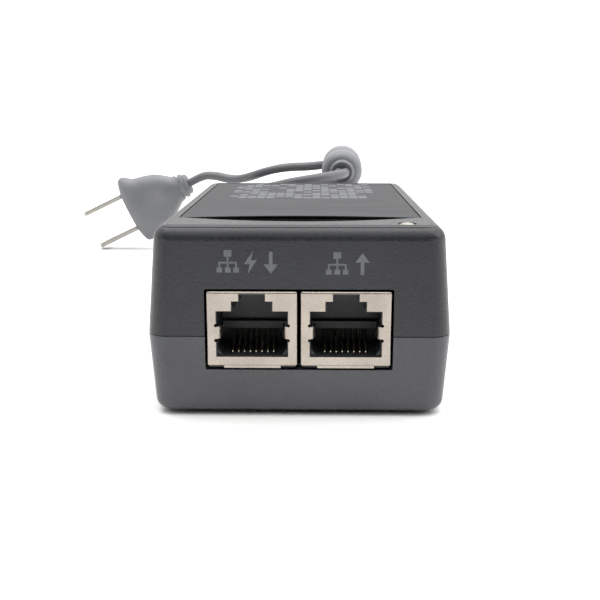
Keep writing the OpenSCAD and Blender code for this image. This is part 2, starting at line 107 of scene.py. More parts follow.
# Carries a cross-section along a path in metres; turns rolls it, in degrees, about the path
def sweep(name, path, section, turns=None, upward=(0, 0, 1), caps=True, around=False):
    path = [Vector(p) for p in path]
    upward = Vector(upward)
    rings = []
    last = len(path) - 1
    for k, point in enumerate(path):
        before = path[k - 1] if k or around else path[0]
        after = path[(k + 1) % len(path)] if k < last or around else path[last]
        way = (after - before).normalized()
        upright = (upward - way * upward.dot(way)).normalized()
        level = way.cross(upright)
        roll = math.radians(turns[k]) if turns else 0
        wide = upright * math.cos(roll) + level * math.sin(roll)
        thin = way.cross(wide)
        rings.append([point + wide * (u * mm) + thin * (v * mm) for u, v in section])
    return loft(name, rings, caps=caps, around=around)


def smoothRoute(points, steps):
    points = [Vector(p) for p in points]
    route = []
    last = len(points) - 1
    for k in range(last):
        a, b = points[max(k - 1, 0)], points[k]
        c, d = points[k + 1], points[min(k + 2, last)]
        for s in range(steps):
            t = s / steps
            bend = (2 * a - 5 * b + 4 * c - d) * t * t + (3 * b - a - 3 * c + d) * t ** 3
            route.append(0.5 * (2 * b + (c - a) * t + bend))
    return route + [points[last]]


def circle(radius, sides=12):
    turn = [2 * math.pi * i / sides for i in range(sides)]
    return [(radius * math.cos(a), radius * math.sin(a)) for a in turn]


# A block between two corners, its edges rounded if a radius is given
def block(low, high, rounding=0, segments=3):
    x0, y0, z0 = low
    x1, y1, z1 = high
    points = [(x, y, z) for z in (z0, z1) for y in (y0, y1) for x in (x0, x1)]
    faces = [(0, 2, 3, 1), (4, 5, 7, 6), (0, 1, 5, 4), (2, 6, 7, 3), (0, 4, 6, 2), (1, 3, 7, 5)]
    piece = newPiece("block", points, faces, mm)
    if rounding:
        work = bmesh.new()
        work.from_mesh(piece.data)
        bmesh.ops.bevel(work, geom=work.edges, offset=rounding * mm, segments=segments,
                        profile=0.5, affect="EDGES")
        work.to_mesh(piece.data)
        work.free()
    return piece


# A round bar from a point, along x, y or z
def bar(start, along, radius, length, sides=48):
    rings = []
    for far in (0, length):
        ring = []
        for u, v in circle(radius, sides):
            spot = {"x": (far, u, v), "y": (u, far, v), "z": (u, v, far)}[along]
            ring.append([s + o for s, o in zip(start, spot)])
        rings.append(ring)
    return loft("bar", rings, unit=mm)


def settle(piece):
    bpy.context.view_layer.update()
    shown = piece.evaluated_get(bpy.context.evaluated_depsgraph_get())
    shaped = bpy.data.meshes.new_from_object(shown)
    piece.modifiers.clear()
    piece.data = shaped


def carve(piece, tools, operation="DIFFERENCE"):
    for tool in tools:
        change = piece.modifiers.new("carve", "BOOLEAN")
        change.object = tool
        change.operation = operation
        change.solver = "EXACT"
    settle(piece)
    for tool in tools:
        bpy.data.objects.remove(tool)


def softenEdges(piece, width, segments=2, sharper=40):
    work = bmesh.new()
    work.from_mesh(piece.data)
    bmesh.ops.remove_doubles(work, verts=work.verts, dist=2e-6)
    bmesh.ops.dissolve_limit(work, angle_limit=math.radians(0.5), verts=work.verts, edges=work.edges)
    work.to_mesh(piece.data)
    work.free()
    change = piece.modifiers.new("soften", "BEVEL")
    change.width = width * mm
    change.segments = segments
    change.limit_method = "ANGLE"
    change.angle_limit = math.radians(sharper)
    change.use_clamp_overlap = True
    settle(piece)


def joinPieces(name, pieces):
    work = bmesh.new()
    for piece in pieces:
        piece.data.transform(piece.matrix_world)
        work.from_mesh(piece.data)
        bpy.data.objects.remove(piece)
    mesh = bpy.data.meshes.new(name)
    work.to_mesh(mesh)
    work.free()
    whole = bpy.data.objects.new(name, mesh)
    scene.collection.objects.link(whole)
    return whole


# Gives a finished piece its name, material and body, and hides the CAD nodes it stands for
def hand(piece, name, material, stands=(), body="case", crease=32, weigh=True):
    piece.name = name
    piece.data.materials.clear()
    piece.data.materials.append(material)
    piece.data.shade_smooth()
    piece.data.set_sharp_from_angle(angle=math.radians(crease))
    if weigh:
        change = piece.modifiers.new("flats", "WEIGHTED_NORMAL")
        change.keep_sharp = True
        settle(piece)
    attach(piece, body)
    if stands:
        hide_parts(*stands)


# making materials


def hexColour(code):
    parts = [int(code[i:i + 2], 16) / 255 for i in (0, 2, 4)]
    return tuple(c / 12.92 if c <= 0.04045 else ((c + 0.055) / 1.055) ** 2.4 for c in parts) + (1,)


# Adds a node; a setting is one of its own options, or else an input's value. A colour mix takes its two
# colours at inputs 6 and 7, and gives the result at output 2
def addNode(tree, kind, settings=None, links=None):
    node = tree.nodes.new("ShaderNode" + kind)
    for key, value in (settings or {}).items():
        if isinstance(key, str) and hasattr(node, key):
            setattr(node, key, value)
        else:
            node.inputs[key].default_value = value
    for key, source in (links or {}).items():
        tree.links.new(source, node.inputs[key])
    return node


def startMaterial(name, look):
    material = bpy.data.materials.new(name)
    material.use_nodes = True
    tree = material.node_tree
    shader = tree.nodes["Principled BSDF"]
    shader.inputs["Base Color"].default_value = hexColour(look["colour"])
    shader.inputs["Roughness"].default_value = look["roughness"]
    shader.inputs["Metallic"].default_value = look.get("metallic", 0)
    if "clear" in look:
        shader.inputs["Transmission Weight"].default_value = look["clear"]
    if "milky" in look:
        shader.inputs["Subsurface Weight"].default_value = look["milky"]
        shader.inputs["Subsurface Scale"].default_value = 0.002
    return material, tree, shader


lineEachMm = 314.16  # the wave texture's scale for one line in each millimetre


# Cloudy tone at mottle mm, grain at grain mm that is deep mm deep, and lines at spacing mm if given
def makeMaterial(name, look):
    material, tree, shader = startMaterial(name, look)
    place = addNode(tree, "TexCoord").outputs["Object"]
    cloud = addNode(tree, "TexNoise", {"Scale": 1000 / look["mottle"], "Detail": 4}, {"Vector": place})
    share = addNode(tree, "MapRange", {"From Min": 0.35, "From Max": 0.65}, {"Value": cloud.outputs["Fac"]})
    tone = addNode(tree, "Mix", {"data_type": "RGBA", 6: hexColour(look["colour"]),
                                 7: hexColour(look["second"])}, {0: share.outputs["Result"]})
    colour = tone.outputs[2]
    grain = addNode(tree, "TexNoise", {"Scale": 1000 / look["grain"], "Detail": 2, "Roughness": 0.6},
                    {"Vector": place})
    height = grain.outputs["Fac"]
    spread = look.get("spread", 0.08)
    gloss = addNode(tree, "MapRange", {"From Min": 0.3, "From Max": 0.7, "To Min": look["roughness"] - spread,
                                       "To Max": look["roughness"] + spread}, {"Value": grain.outputs["Fac"]})
    if "spacing" in look:
        wave = addNode(tree, "TexWave", {
            "bands_direction": look["across"], "wave_profile": look.get("profile", "SIN"), "Detail": 1,
            "Scale": lineEachMm / look["spacing"], "Distortion": look["waver"]}, {"Vector": place})
        band = addNode(tree, "Mix", {"data_type": "RGBA", 7: hexColour(look["lineColour"])},
                       {0: wave.outputs["Fac"], 6: colour})
        colour = band.outputs[2]
        both = addNode(tree, "Math", {"operation": "MULTIPLY_ADD", 1: look["lineHeight"]},
                       {0: wave.outputs["Fac"], 2: height})
        height = both.outputs[0]
    bump = addNode(tree, "Bump", {"Strength": 0.5, "Distance": look["deep"] * mm},
                   {"Height": height})
    tree.links.new(colour, shader.inputs["Base Color"])
    tree.links.new(gloss.outputs["Result"], shader.inputs["Roughness"])
    tree.links.new(bump.outputs["Normal"], shader.inputs["Normal"])
    return material


# spark-eroded ABS: fine sandy grain that breaks up reflections
caseLook = {"colour": "1f2024", "second": "27282c", "roughness": 0.34, "mottle": 14,
            "grain": 0.42, "deep": 0.07, "spread": 0.09}
sparkAbs = makeMaterial("sparkErodedAbs", caseLook)
# the lower half is given a lighter copy of the same plastic, so the parting line shows as a change of tone
lowerAbs = makeMaterial("sparkErodedAbsLower", dict(caseLook, colour="434448", second="4b4c50"))
# moulded rubber: no shine at all, so the feet stay flat and dark
softRubber = makeMaterial("mouldedRubber", {"colour": "17171a", "second": "1f1f22", "roughness": 0.8,
                                            "mottle": 3, "grain": 0.2, "deep": 0.02})
# nickel plate over bent sheet: warm grey and bright, with a faint cloudy variation
nickelPlate = makeMaterial("nickelPlatedSheet", {"colour": "aea59b", "second": "a19890", "roughness": 0.3,
                                                 "metallic": 1, "mottle": 4, "grain": 0.25, "deep": 0.004,
                                                 "spread": 0.06})
# glass-filled nylon: dark and matt, so the port bores fall away into shadow
jackNylon = makeMaterial("mouldedNylon", {"colour": "202124", "second": "2a2b2e", "roughness": 0.5,
                                          "mottle": 2.5, "grain": 0.12, "deep": 0.01})
# thin gold flash over bronze: pale straw, almost white where it catches light
goldFlash = makeMaterial("goldFlashedBronze", {"colour": "eadfc4", "second": "e2d8c0", "roughness": 0.22,
                                               "metallic": 1, "mottle": 1.2, "grain": 0.1, "deep": 0.003,
                                               "spread": 0.05})
# extruded cord jacket: plain mid grey with a soft sheen along its length
leadPvc = makeMaterial("extrudedPvc", {"colour": "626366", "second": "6c6d70", "roughness": 0.46,
                                       "mottle": 9, "grain": 0.3, "deep": 0.02})
# moulded plug and choke skin: slightly paler and smoother than the cord
plugPvc = makeMaterial("mouldedPvc", {"colour": "737477", "second": "7d7e81", "roughness": 0.42,
                                      "mottle": 7, "grain": 0.28, "deep": 0.025})
# vinyl strip over wire: black with a low wet-looking shine
tiePvc = makeMaterial("tieVinyl", {"colour": "141416", "second": "1e1e21", "roughness": 0.4,
                                   "mottle": 2, "grain": 0.15, "deep": 0.01})
# plated blades: pale metal with fine lengthwise grinding marks
bladePlate = makeMaterial("nickelPlatedBrass", {"colour": "a5a39e", "second": "98958e", "roughness": 0.32,
                                                "metallic": 1, "mottle": 5, "grain": 0.3, "deep": 0.004,
                                                "spacing": 0.12, "across": "Z", "lineColour": "9d9a93",
                                                "lineHeight": 0.4, "waver": 1.5})
# diffused lens: cloudy and faintly see-through, so it glows where light gets in
lensEpoxy = makeMaterial("milkyEpoxy", {"colour": "b3afa2", "second": "a8a494", "roughness": 0.25,
                                        "milky": 0.3, "mottle": 1.2, "grain": 0.2, "deep": 0.004,
                                        "spread": 0.03})
# pad-printed ink: flat grey, only a little lighter than the case it sits on
printInk = makeMaterial("padPrintedInk", {"colour": "66686b", "second": "5e6063", "roughness": 0.55,
                                          "mottle": 1.5, "grain": 0.12, "deep": 0.004})
print("outer materials made")


# satin polyester film with faint coating streaks and rows of pale printed bars
def makeLabelFilm():
    look = {"colour": "27282b", "dark": "222326", "pale": "2e2f32", "ink": "77797c", "roughness": 0.6}
    # printed rows in mm: start is measured from the middle of the case, squash narrows the gaps in a row
    rows = {"start": 3.1, "side": 16, "barLong": 12, "rowPitch": 3.1, "gap": 0.9, "squash": 6}
    material, tree, shader = startMaterial("satinPolyesterFilm", look)
    place = addNode(tree, "TexCoord").outputs["Object"]
    stretch = addNode(tree, "Mapping", {"Scale": (40, 900, 40)}, {"Vector": place})
    streak = addNode(tree, "TexNoise", {"Scale": 1, "Detail": 3}, {"Vector": stretch.outputs["Vector"]})
    tone = addNode(tree, "Mix", {"data_type": "RGBA", 6: hexColour(look["dark"]), 7: hexColour(look["pale"])},
                   {0: streak.outputs["Fac"]})
    squashed = addNode(tree, "Mapping", {"Scale": (rows["squash"], 1, 1)}, {"Vector": place})
    bars = addNode(tree, "TexBrick", {"Scale": 1000, "Mortar Size": rows["gap"], "Mortar Smooth": 0.2,
                                      "Brick Width": rows["barLong"], "Row Height": rows["rowPitch"],
                                      "offset": 0, "Color1": (1, 1, 1, 1), "Color2": (0, 0, 0, 1),
                                      "Mortar": (0, 0, 0, 1)}, {"Vector": squashed.outputs["Vector"]})
    chosen = addNode(tree, "Math", {"operation": "GREATER_THAN", 1: 0.3}, {0: bars.outputs["Color"]})
    apart = addNode(tree, "SeparateXYZ", {}, {"Vector": place})
    beyond = addNode(tree, "Math", {"operation": "GREATER_THAN", 1: rows["start"] * mm},
                     {0: apart.outputs["Y"]})
    wide = addNode(tree, "Math", {"operation": "ABSOLUTE"}, {0: apart.outputs["X"]})
    within = addNode(tree, "Math", {"operation": "LESS_THAN", 1: rows["side"] * mm}, {0: wide.outputs[0]})
    area = addNode(tree, "Math", {"operation": "MULTIPLY"}, {0: beyond.outputs[0], 1: within.outputs[0]})
    ink = addNode(tree, "Math", {"operation": "MULTIPLY"}, {0: area.outputs[0], 1: chosen.outputs[0]})
    printed = addNode(tree, "Mix", {"data_type": "RGBA", 7: hexColour(look["ink"])},
                      {0: ink.outputs[0], 6: tone.outputs[2]})
    grain = addNode(tree, "TexNoise", {"Scale": 1000 / 0.3, "Detail": 2}, {"Vector": place})
    bump = addNode(tree, "Bump", {"Strength": 0.4, "Distance": 0.012 * mm}, {"Height": grain.outputs["Fac"]})
    gloss = addNode(tree, "MapRange", {"From Min": 0.3, "From Max": 0.7, "To Min": 0.54, "To Max": 0.66},
                    {"Value": streak.outputs["Fac"]})
    tree.links.new(printed.outputs[2], shader.inputs["Base Color"])
    tree.links.new(gloss.outputs["Result"], shader.inputs["Roughness"])
    tree.links.new(bump.outputs["Normal"], shader.inputs["Normal"])
    return material


labelFilm = makeLabelFilm()

# mains lead: a flat twin cord, from the case to the coil, through the choke, to the plug

lead = {"wide": 4.8, "thick": 2.9, "coreApart": 1.9, "valley": 0.3, "length": 1.52}  # length in metres
coil = {"centre": (-0.006, 0.104), "outer": 0.02545, "inner": 0.02255, "first": 0.002875,
        "pitch": 0.00485, "sweep": 3105, "changeAt": 298, "stagger": 36, "change": 60, "step": 7.5}
runRoute = [  # metres, as are the two routes below
    (0.014, 0.039, 0.0143), (0.014, 0.050, 0.0143), (0.014, 0.062, 0.0143), (0.0141, 0.068, 0.0135),
    (0.0146, 0.075, 0.0109), (0.0158, 0.082, 0.0076), (0.0174, 0.089, 0.0048), (0.0188, 0.096, 0.0032),
    (0.0194, 0.104, 0.0029)]
tailRoute = [
    (-0.022, 0.088, 0.0223), (-0.0175, 0.083, 0.0245), (-0.0115, 0.078, 0.027), (-0.004, 0.0746, 0.0292),
    (0.002, 0.0752, 0.0304), (0.0072, 0.0786, 0.0312), (0.0102, 0.084, 0.0315), (0.011, 0.091, 0.0316)]
plugRoute = [
    (0.0117, 0.117, 0.0327), (0.0112, 0.1204, 0.0328), (0.0092, 0.1238, 0.0323), (0.0053, 0.1263, 0.0315),
    (0, 0.1273, 0.0309), (-0.0052, 0.1276, 0.0307), (-0.010, 0.128, 0.0301), (-0.0145, 0.129, 0.029),
    (-0.0185, 0.1306, 0.0276), (-0.0222, 0.1328, 0.0264), (-0.0258, 0.135, 0.0258), (-0.0294, 0.1368, 0.026),
    (-0.0332, 0.1377, 0.0267), (-0.0375, 0.1381, 0.0266), (-0.0429, 0.1381, 0.0241)]


def coilPoint(angle):
    # slots fill outer, inner, then inner, outer of the next layer up, and so on
    spots = []
    for layer in range(5):
        columns = ("outer", "inner") if layer % 2 == 0 else ("inner", "outer")
        spots += [(coil[side], coil["first"] + layer * coil["pitch"]) for side in columns]
    turn = min(int(angle // 360), 8)
    start = coil["changeAt"] - coil["stagger"] * turn
    t = min(max((angle - 360 * turn - start) / coil["change"], 0), 1)
    t = t * t * (3 - 2 * t)
    here, there = spots[turn], spots[turn + 1]
    radius = here[0] + (there[0] - here[0]) * t
    height = here[1] + (there[1] - here[1]) * t
    a = math.radians(angle)
    x, y = coil["centre"]
    return Vector((x + radius * math.cos(a), y + radius * math.sin(a), height))


def twinSection():
    half, radius = lead["coreApart"] / 2, lead["thick"] / 2
    right = [(half + radius * math.cos(math.radians(a)), radius * math.sin(math.radians(a)))
             for a in range(-80, 81, 20)]
    left = [(-u, v) for u, v in right[::-1]]
    return right + [(0, radius - lead["valley"])] + left + [(0, lead["valley"] - radius)]


runPath = smoothRoute(runRoute, 4)
coilSteps = int(coil["sweep"] / coil["step"])
coilPath = [coilPoint(coil["step"] * k) for k in range(1, coilSteps)]
tailPath = smoothRoute(tailRoute, 5)
chokePath = [tailPath[-1].lerp(Vector(plugRoute[0]), k / 8) for k in range(1, 8)]
plugPath = smoothRoute(plugRoute, 4)
leadPath = runPath + coilPath + tailPath + chokePath + plugPath
rolls = [0] * (len(runPath) + len(coilPath))
rolls += [90 * k / (len(tailPath) - 1) for k in range(len(tailPath))]
rolls += [90] * (len(chokePath) + len(plugPath))
leadLength = sum((b - a).length for a, b in zip(leadPath, leadPath[1:]))
print("lead runs", round(leadLength, 3), "m over", len(leadPath), "points")
leadPiece = sweep("mainsLead", leadPath, twinSection(), rolls)
hand(leadPiece, "mainsLead", leadPvc, ("lead_run", "lead_coil", "lead_tail"),
     crease=50, weigh=False)

# tapered strain relief with flex ribs
relief = {"exit": (14, 42, 14.3), "hole": 4, "bore": 2.52, "ribs": 6, "length": 20}


def reliefProfile():
    outside = [(2.6, -3.55), (4.6, -3.55), (4.65, -3.4), (4.65, -2.35), (3.82, -2.3), (3.82, 0.1),
               (4.9, 0.15), (5.05, 0.4), (5, 1.2), (4.6, 1.7)]
    start, pitch = 2.0, (relief["length"] - 2.6) / relief["ribs"]
    for k in range(relief["ribs"]):
        z = start + k * pitch
        big = 4.35 - 1.1 * (z - 2) / 18
        outside += [(big, z + 0.25), (big + 0.03, z + 0.7), (big, z + pitch * 0.55),
                    (big - 0.5, z + pitch * 0.66), (big - 0.55, z + pitch * 0.85)]
    end = relief["length"]
    return outside + [(3.3, end - 0.5), (3.1, end - 0.05), (2.8, end),
                      (relief["bore"], end - 0.2), (relief["bore"], -3.3)]


reliefPiece = lathe("strainRelief", reliefProfile(), 56, around=True)
reliefPiece.data.transform(Matrix.Translation(Vector(relief["exit"]) * mm)
                           @ Matrix.Rotation(-math.pi / 2, 4, "X"))
hand(reliefPiece, "strainRelief", leadPvc, ("strain_relief",), weigh=False)

# barrel choke moulded over the cord
choke = {"front": (11, 91, 31.6), "lean": 2.5, "swing": -1.5, "radius": 6.3, "length": 26}


def chokeProfile():
    r, length = choke["radius"], choke["length"]
    near = [(1.3, 0.9), (2.5, 0.45), (3.0, 0.1), (3.3, 0.15), (3.9, 1.1)]
    near += [(3.9 + (r - 3.9) * math.sin(math.radians(a)), 4.4 - 3.3 * math.cos(math.radians(a)))
             for a in range(10, 91, 10)]
    step = ((0, -0.35), (0.08, -0.2), (0.08, 0.2), (0, 0.35))  # mould line round the middle
    seam = [(r + out, length / 2 + along) for out, along in step]
    return near + seam + [(u, length - v) for u, v in near[::-1]]


chokePose = (Matrix.Translation(Vector(choke["front"]) * mm)
             @ Matrix.Rotation(math.radians(choke["swing"]), 4, "Z")
             @ Matrix.Rotation(math.radians(choke["lean"] - 90), 4, "X"))
chokePiece = lathe("leadChoke", chokeProfile(), 72, around=True)
chokePiece.data.transform(chokePose)
hand(chokePiece, "leadChoke", plugPvc, ("lead_choke",), crease=40, weigh=False)

# flat two-blade plug: eared grip, thumb hollows and a ribbed collar
plug = {"end": (-42.9, 138.1, 24.1), "roll": 89.5, "dip": 25.7, "heading": 179.2, "collar": 24, "hollow": 1.0}
plugPose = (Matrix.Translation(Vector(plug["end"]) * mm)
            @ Matrix.Rotation(math.radians(plug["heading"]), 4, "Z")
            @ Matrix.Rotation(math.radians(plug["dip"]), 4, "Y")
            @ Matrix.Rotation(math.radians(plug["roll"]), 4, "X")
            @ Matrix.Translation((plug["collar"] * mm, 0, 0)))
plugStations = [  # distance behind the face, half width, half thickness
    (0, 8.4, 3.9), (0.15, 9.1, 4.3), (0.5, 10.6, 4.6), (1, 11.8, 4.8), (1.6, 12.3, 5.05),
    (2.4, 12.45, 5.25), (3.2, 12.2, 5.35), (4, 11.7, 5.4), (5, 10.9, 5.45), (6, 10.35, 5.5),
    (7.5, 9.95, 5.5), (9.5, 9.6, 5.45), (11.5, 9.1, 5.25), (13.5, 8.5, 5.0), (15.4, 7.5, 4.8),
    (17.2, 6.2, 4.5), (18.8, 5.05, 4.2), (19.6, 4.7, 4.05), (20.2, 4.75, 3.9), (20.6, 4.0, 3.6),
    (21.1, 3.9, 3.6), (21.5, 4.5, 3.8), (22.3, 4.4, 3.8), (22.6, 3.7, 3.55), (23.1, 3.65, 3.5),
    (23.4, 3.8, 3.6), (24, 3.4, 3.2)]


def plugRings():
    rings = []
    for back, wide, thick in plugStations:
        ring = []
        for i in range(72):
            a = 2 * math.pi * i / 72
            power = 0.8 if back < 18 else 0.95  # squarer grip, rounder collar
            y = wide * math.copysign(abs(math.cos(a)) ** power, math.cos(a))
            z = thick * math.copysign(abs(math.sin(a)) ** power, math.sin(a))
            fade = math.exp(-((back - 9.2) / 3.6) ** 2 - (y / 4.2) ** 2)
            ring.append((-back, y, z * (1 - plug["hollow"] * fade / thick)))
        rings.append(ring)
    return rings


plugPiece = loft("plugBody", plugRings(), unit=mm)
plugPiece.data.transform(plugPose)
hand(plugPiece, "plugBody", plugPvc, ("plug_body",), crease=42, weigh=False)

# two flat blades with rounded tips and a round hole near each tip
blade = {"pitch": 12.7, "thick": 1.5, "wide": 6.3, "long": 16, "hole": 1.6, "holeBack": 4.8}
bladePieces = []
for side in (-1, 1):
    y = side * blade["pitch"] / 2
    one = block((0.02, y - blade["thick"] / 2, -blade["wide"] / 2),
                (blade["long"], y + blade["thick"] / 2, blade["wide"] / 2))
    tipTool = block((blade["long"] - 1.4, y - 3, -6), (blade["long"] + 3, y + 3, 6))
    tipForm = bar((blade["long"] - 4.6, y - 3, 0), "y", 4.55, 6, 96)
    carve(tipTool, [tipForm])
    carve(one, [tipTool, bar((blade["long"] - blade["holeBack"], y - 2, 0), "y", blade["hole"], 4)])
    softenEdges(one, 0.22, 3)
    bladePieces.append(one)
blades = joinPieces("plugBlades", bladePieces)
blades.data.transform(plugPose)
hand(blades, "plugBlades", bladePlate, ("plug_blades",))

# tie: a flat strap round one side of the coil, its ends twisted together above
tie = {"azimuth": 68, "half": (3.08, 12.32), "middle": 12.6, "corner": 0.9, "wide": 3.6, "thick": 0.36}


def tieLoop():
    w, h, r = tie["half"][0], tie["half"][1], tie["corner"]
    points = []
    for sx, sz, start in ((1, 1, 0), (-1, 1, 90), (-1, -1, 180), (1, -1, 270)):
        for a in range(start, start + 91, 15):
            spread = math.radians(a)
            points.append((sx * (w - r) + r * math.cos(spread), sz * (h - r) + r * math.sin(spread)))
    a = math.radians(tie["azimuth"])
    out = Vector((math.cos(a), math.sin(a), 0))
    centre = Vector((coil["centre"][0], coil["centre"][1], tie["middle"] * mm)) + out * 0.024
    return [centre + out * (u * mm) + Vector((0, 0, v * mm)) for u, v in points], Vector((-out.y, out.x, 0))


tiePath, tieAcross = tieLoop()
halfWide, halfThick = tie["wide"] / 2, tie["thick"] / 2
strap = [(halfWide, halfThick), (0, halfThick * 1.5), (-halfWide, halfThick),
         (-halfWide, -halfThick), (halfWide, -halfThick)]
tiePiece = sweep("coilTie", tiePath, strap, upward=tieAcross, around=True)
hand(tiePiece, "coilTie", tiePvc, ("coil_tie",), crease=50, weigh=False)

print("lead, choke, tie and plug made")

# case shells

case = {"wide": 52, "long": 84, "high": 33, "parting": 14.3, "wall": 2, "corner": 3.5, "edge": 2.6,
        "sideDraft": 1.2, "endDraft": 0.5, "lift": 0.6, "bend": 2, "groove": 0.16}
front, rear = -case["long"] / 2, case["long"] / 2
post = {"side": 19.4, "behindFront": 11, "beforeRear": 9, "radius": 2.8, "pilot": 1.1,
        "upperFoot": 8.8, "upperLong": 22.7, "lowerFoot": 2.1, "lowerLong": 5.1}
postPlaces = [(x, y) for x in (-post["side"], post["side"])
              for y in (front + post["behindFront"], rear - post["beforeRear"])]


def caseRing(height, inset, draft, perCorner=8):
    halfX = case["wide"] / 2 - inset - draft * case["sideDraft"]
    halfY = case["long"] / 2 - inset - draft * case["endDraft"]
    r = max(case["corner"] - inset, 1)
    ring = []
    for quarter, (sx, sy) in enumerate(((1, 1), (-1, 1), (-1, -1), (1, -1))):
        for k in range(perCorner + 1):
            a = math.radians(90 * (quarter + k / perCorner))
            ring.append((sx * (halfX - r) + r * math.cos(a), sy * (halfY - r) + r * math.sin(a), height))
    return ring


# angle round the top edge and how deep the surface sits there: two fine moulding lines run round it
edgeSteps = [(7.5 * k, 0) for k in range(8)] + [(58, 0), (61, 0.1), (64, 0), (69, 0), (75, 0),
                                                (79, 0), (82, 0.1), (85, 0), (90, 0)]


def upperRings(inset):
    top = case["high"] - case["edge"]
    if inset:
        rings = [caseRing(case["parting"] - 0.6, inset, 0)]
    else:
        rings = [caseRing(case["parting"] + 0.01, case["groove"], 0),
                 caseRing(case["parting"] + case["groove"] * 0.5, case["groove"] * 0.3, 0),
                 caseRing(case["parting"] + case["groove"] * 1.2, 0, 0.01)]
    for angle, deep in edgeSteps if not inset else [(7.5 * k, 0) for k in range(13)]:
        a = math.radians(angle)
        r = case["edge"] - deep
        rings.append(caseRing(top - inset + r * math.sin(a), inset + case["edge"] - r * math.cos(a), 1))
    return rings


def lowerRings(inset):
    base = case["lift"] + inset
    rings = []
    for k in range(9):
        a = math.radians(90 * k / 8)
        up, out = case["bend"] * (1 - math.cos(a)), case["bend"] * (1 - math.sin(a))
        rings.append(caseRing(base + up, inset + out, 0.7))
    if inset:
        return rings + [caseRing(case["parting"] + 0.6, inset, 0)]
    return rings + [caseRing(case["parting"] - case["groove"] * 1.2, 0, 0.01),
                    caseRing(case["parting"] - case["groove"] * 0.5, case["groove"] * 0.3, 0),
                    caseRing(case["parting"] - 0.01, case["groove"], 0)]


portWindow = {"half": 16, "low": 8.4, "high": 22.45, "corner": 0.35}


def portOpening():
    return block((-portWindow["half"], front - 2, portWindow["low"]),
                 (portWindow["half"], front + 4, portWindow["high"]), portWindow["corner"])


def leadHole():
    return bar((relief["exit"][0], rear - 5, relief["exit"][2]), "y", relief["hole"], 8)


# the scoop in front of the label: a wide shallow arc that dips towards the label
scoop = {"radius": 243, "start": 7.2, "dip": 10, "long": 5.7}


def scoopTool():
    rings = []
    r = scoop["radius"]
    for y in (0, scoop["long"]):
        arc = [(x / 2, y, r - math.sqrt(r ** 2 - x * x / 4)) for x in range(-48, 49)]
        rings.append(arc + [(24, y, 6), (-24, y, 6)])
    tool = loft("scoop", rings, unit=mm)
    tool.data.transform(Matrix.Translation(Vector((0, front + scoop["start"], case["high"])) * mm)
                        @ Matrix.Rotation(math.radians(-scoop["dip"]), 4, "X"))
    return tool


label = {"wide": 43, "start": 12.6, "long": 67, "recess": 0.3, "thick": 0.2, "bow": 0.34}
lampPlace = (18.3, front + 4.6)
lampHole = 1.6  # radius

upperShell = loft("upperShell", upperRings(0), unit=mm)
carve(upperShell, [loft("hollow", upperRings(case["wall"]), unit=mm)])
carve(upperShell, [bar((x, y, post["upperFoot"]), "z", post["radius"], post["upperLong"], 36)
                   for x, y in postPlaces], "UNION")
carve(upperShell, [
    block((-label["wide"] / 2 - 0.2, front + label["start"], case["high"] - label["recess"]),
          (label["wide"] / 2 + 0.2, front + label["start"] + label["long"] + 0.4, case["high"] + 2)),
    scoopTool(),
    bar((*lampPlace, case["high"] - 6), "z", lampHole, 10, 40),
    portOpening(),
    leadHole()] + [bar((x, y, post["upperFoot"] - 1), "z", post["pilot"], 12, 32) for x, y in postPlaces])
softenEdges(upperShell, 0.14)
hand(upperShell, "upperShell", sparkAbs, ("upper_case",))

lowerShell = loft("lowerShell", lowerRings(0), unit=mm)
carve(lowerShell, [loft("hollow", lowerRings(case["wall"]), unit=mm)])
carve(lowerShell, [bar((x, y, post["lowerFoot"]), "z", post["radius"], post["lowerLong"], 36)
                   for x, y in postPlaces], "UNION")
wells = []
for x, y in postPlaces:
    for radius, length, sides in ((1.6, 20, 32), (2.5, 3.9, 32), (3.5, 2, 48)):  # screw, its head, the foot
        wells.append(bar((x, y, -1), "z", radius, length, sides))
carve(lowerShell, wells + [portOpening(), leadHole()])
softenEdges(lowerShell, 0.14)
hand(lowerShell, "lowerShell", lowerAbs, ("lower_case",))
print("shells made")


# label film, its front edge bowed up a little where it bridges the scoop
def labelRings():
    rings = []
    count = 40
    for back in [0, 0.4, 1, 2, 3, 4.5, 6, 8, 11, 15, 20, 28, 40, 54, 66.2, label["long"] - 0.2]:
        low, high = [], []
        for k in range(count + 1):
            x = label["wide"] * (k / count - 0.5)
            rise = label["bow"] * (1 - (2 * x / label["wide"]) ** 2) * math.exp(-(back / 5) ** 2)
            z = case["high"] - label["recess"] + 0.02 + rise
            y = front + label["start"] + 0.2 + back
            low.append((x, y, z))
            high.append((x, y, z + label["thick"]))
        rings.append(low + high[::-1])
    return rings


labelPiece = loft("topLabel", labelRings(), unit=mm)
hand(labelPiece, "topLabel", labelFilm, ("top_label",))

foot = {"dish": 0.04, "sole": 2.7, "radius": 3.38, "high": 0.96}
footProfile = [(0, foot["dish"]), (1.6, 0), (foot["sole"], 0), (2.95, 0.06), (3.15, 0.2), (3.35, 0.5),
               (foot["radius"], foot["high"]), (0, foot["high"])]
footPieces = []
for x, y in postPlaces:
    one = lathe("foot", footProfile, 48)
    one.data.transform(Matrix.Translation((x * mm, y * mm, 0)))
    footPieces.append(one)
hand(joinPieces("rubberFeet", footPieces), "rubberFeet", softRubber, ("rubber_feet",),
     weigh=False)

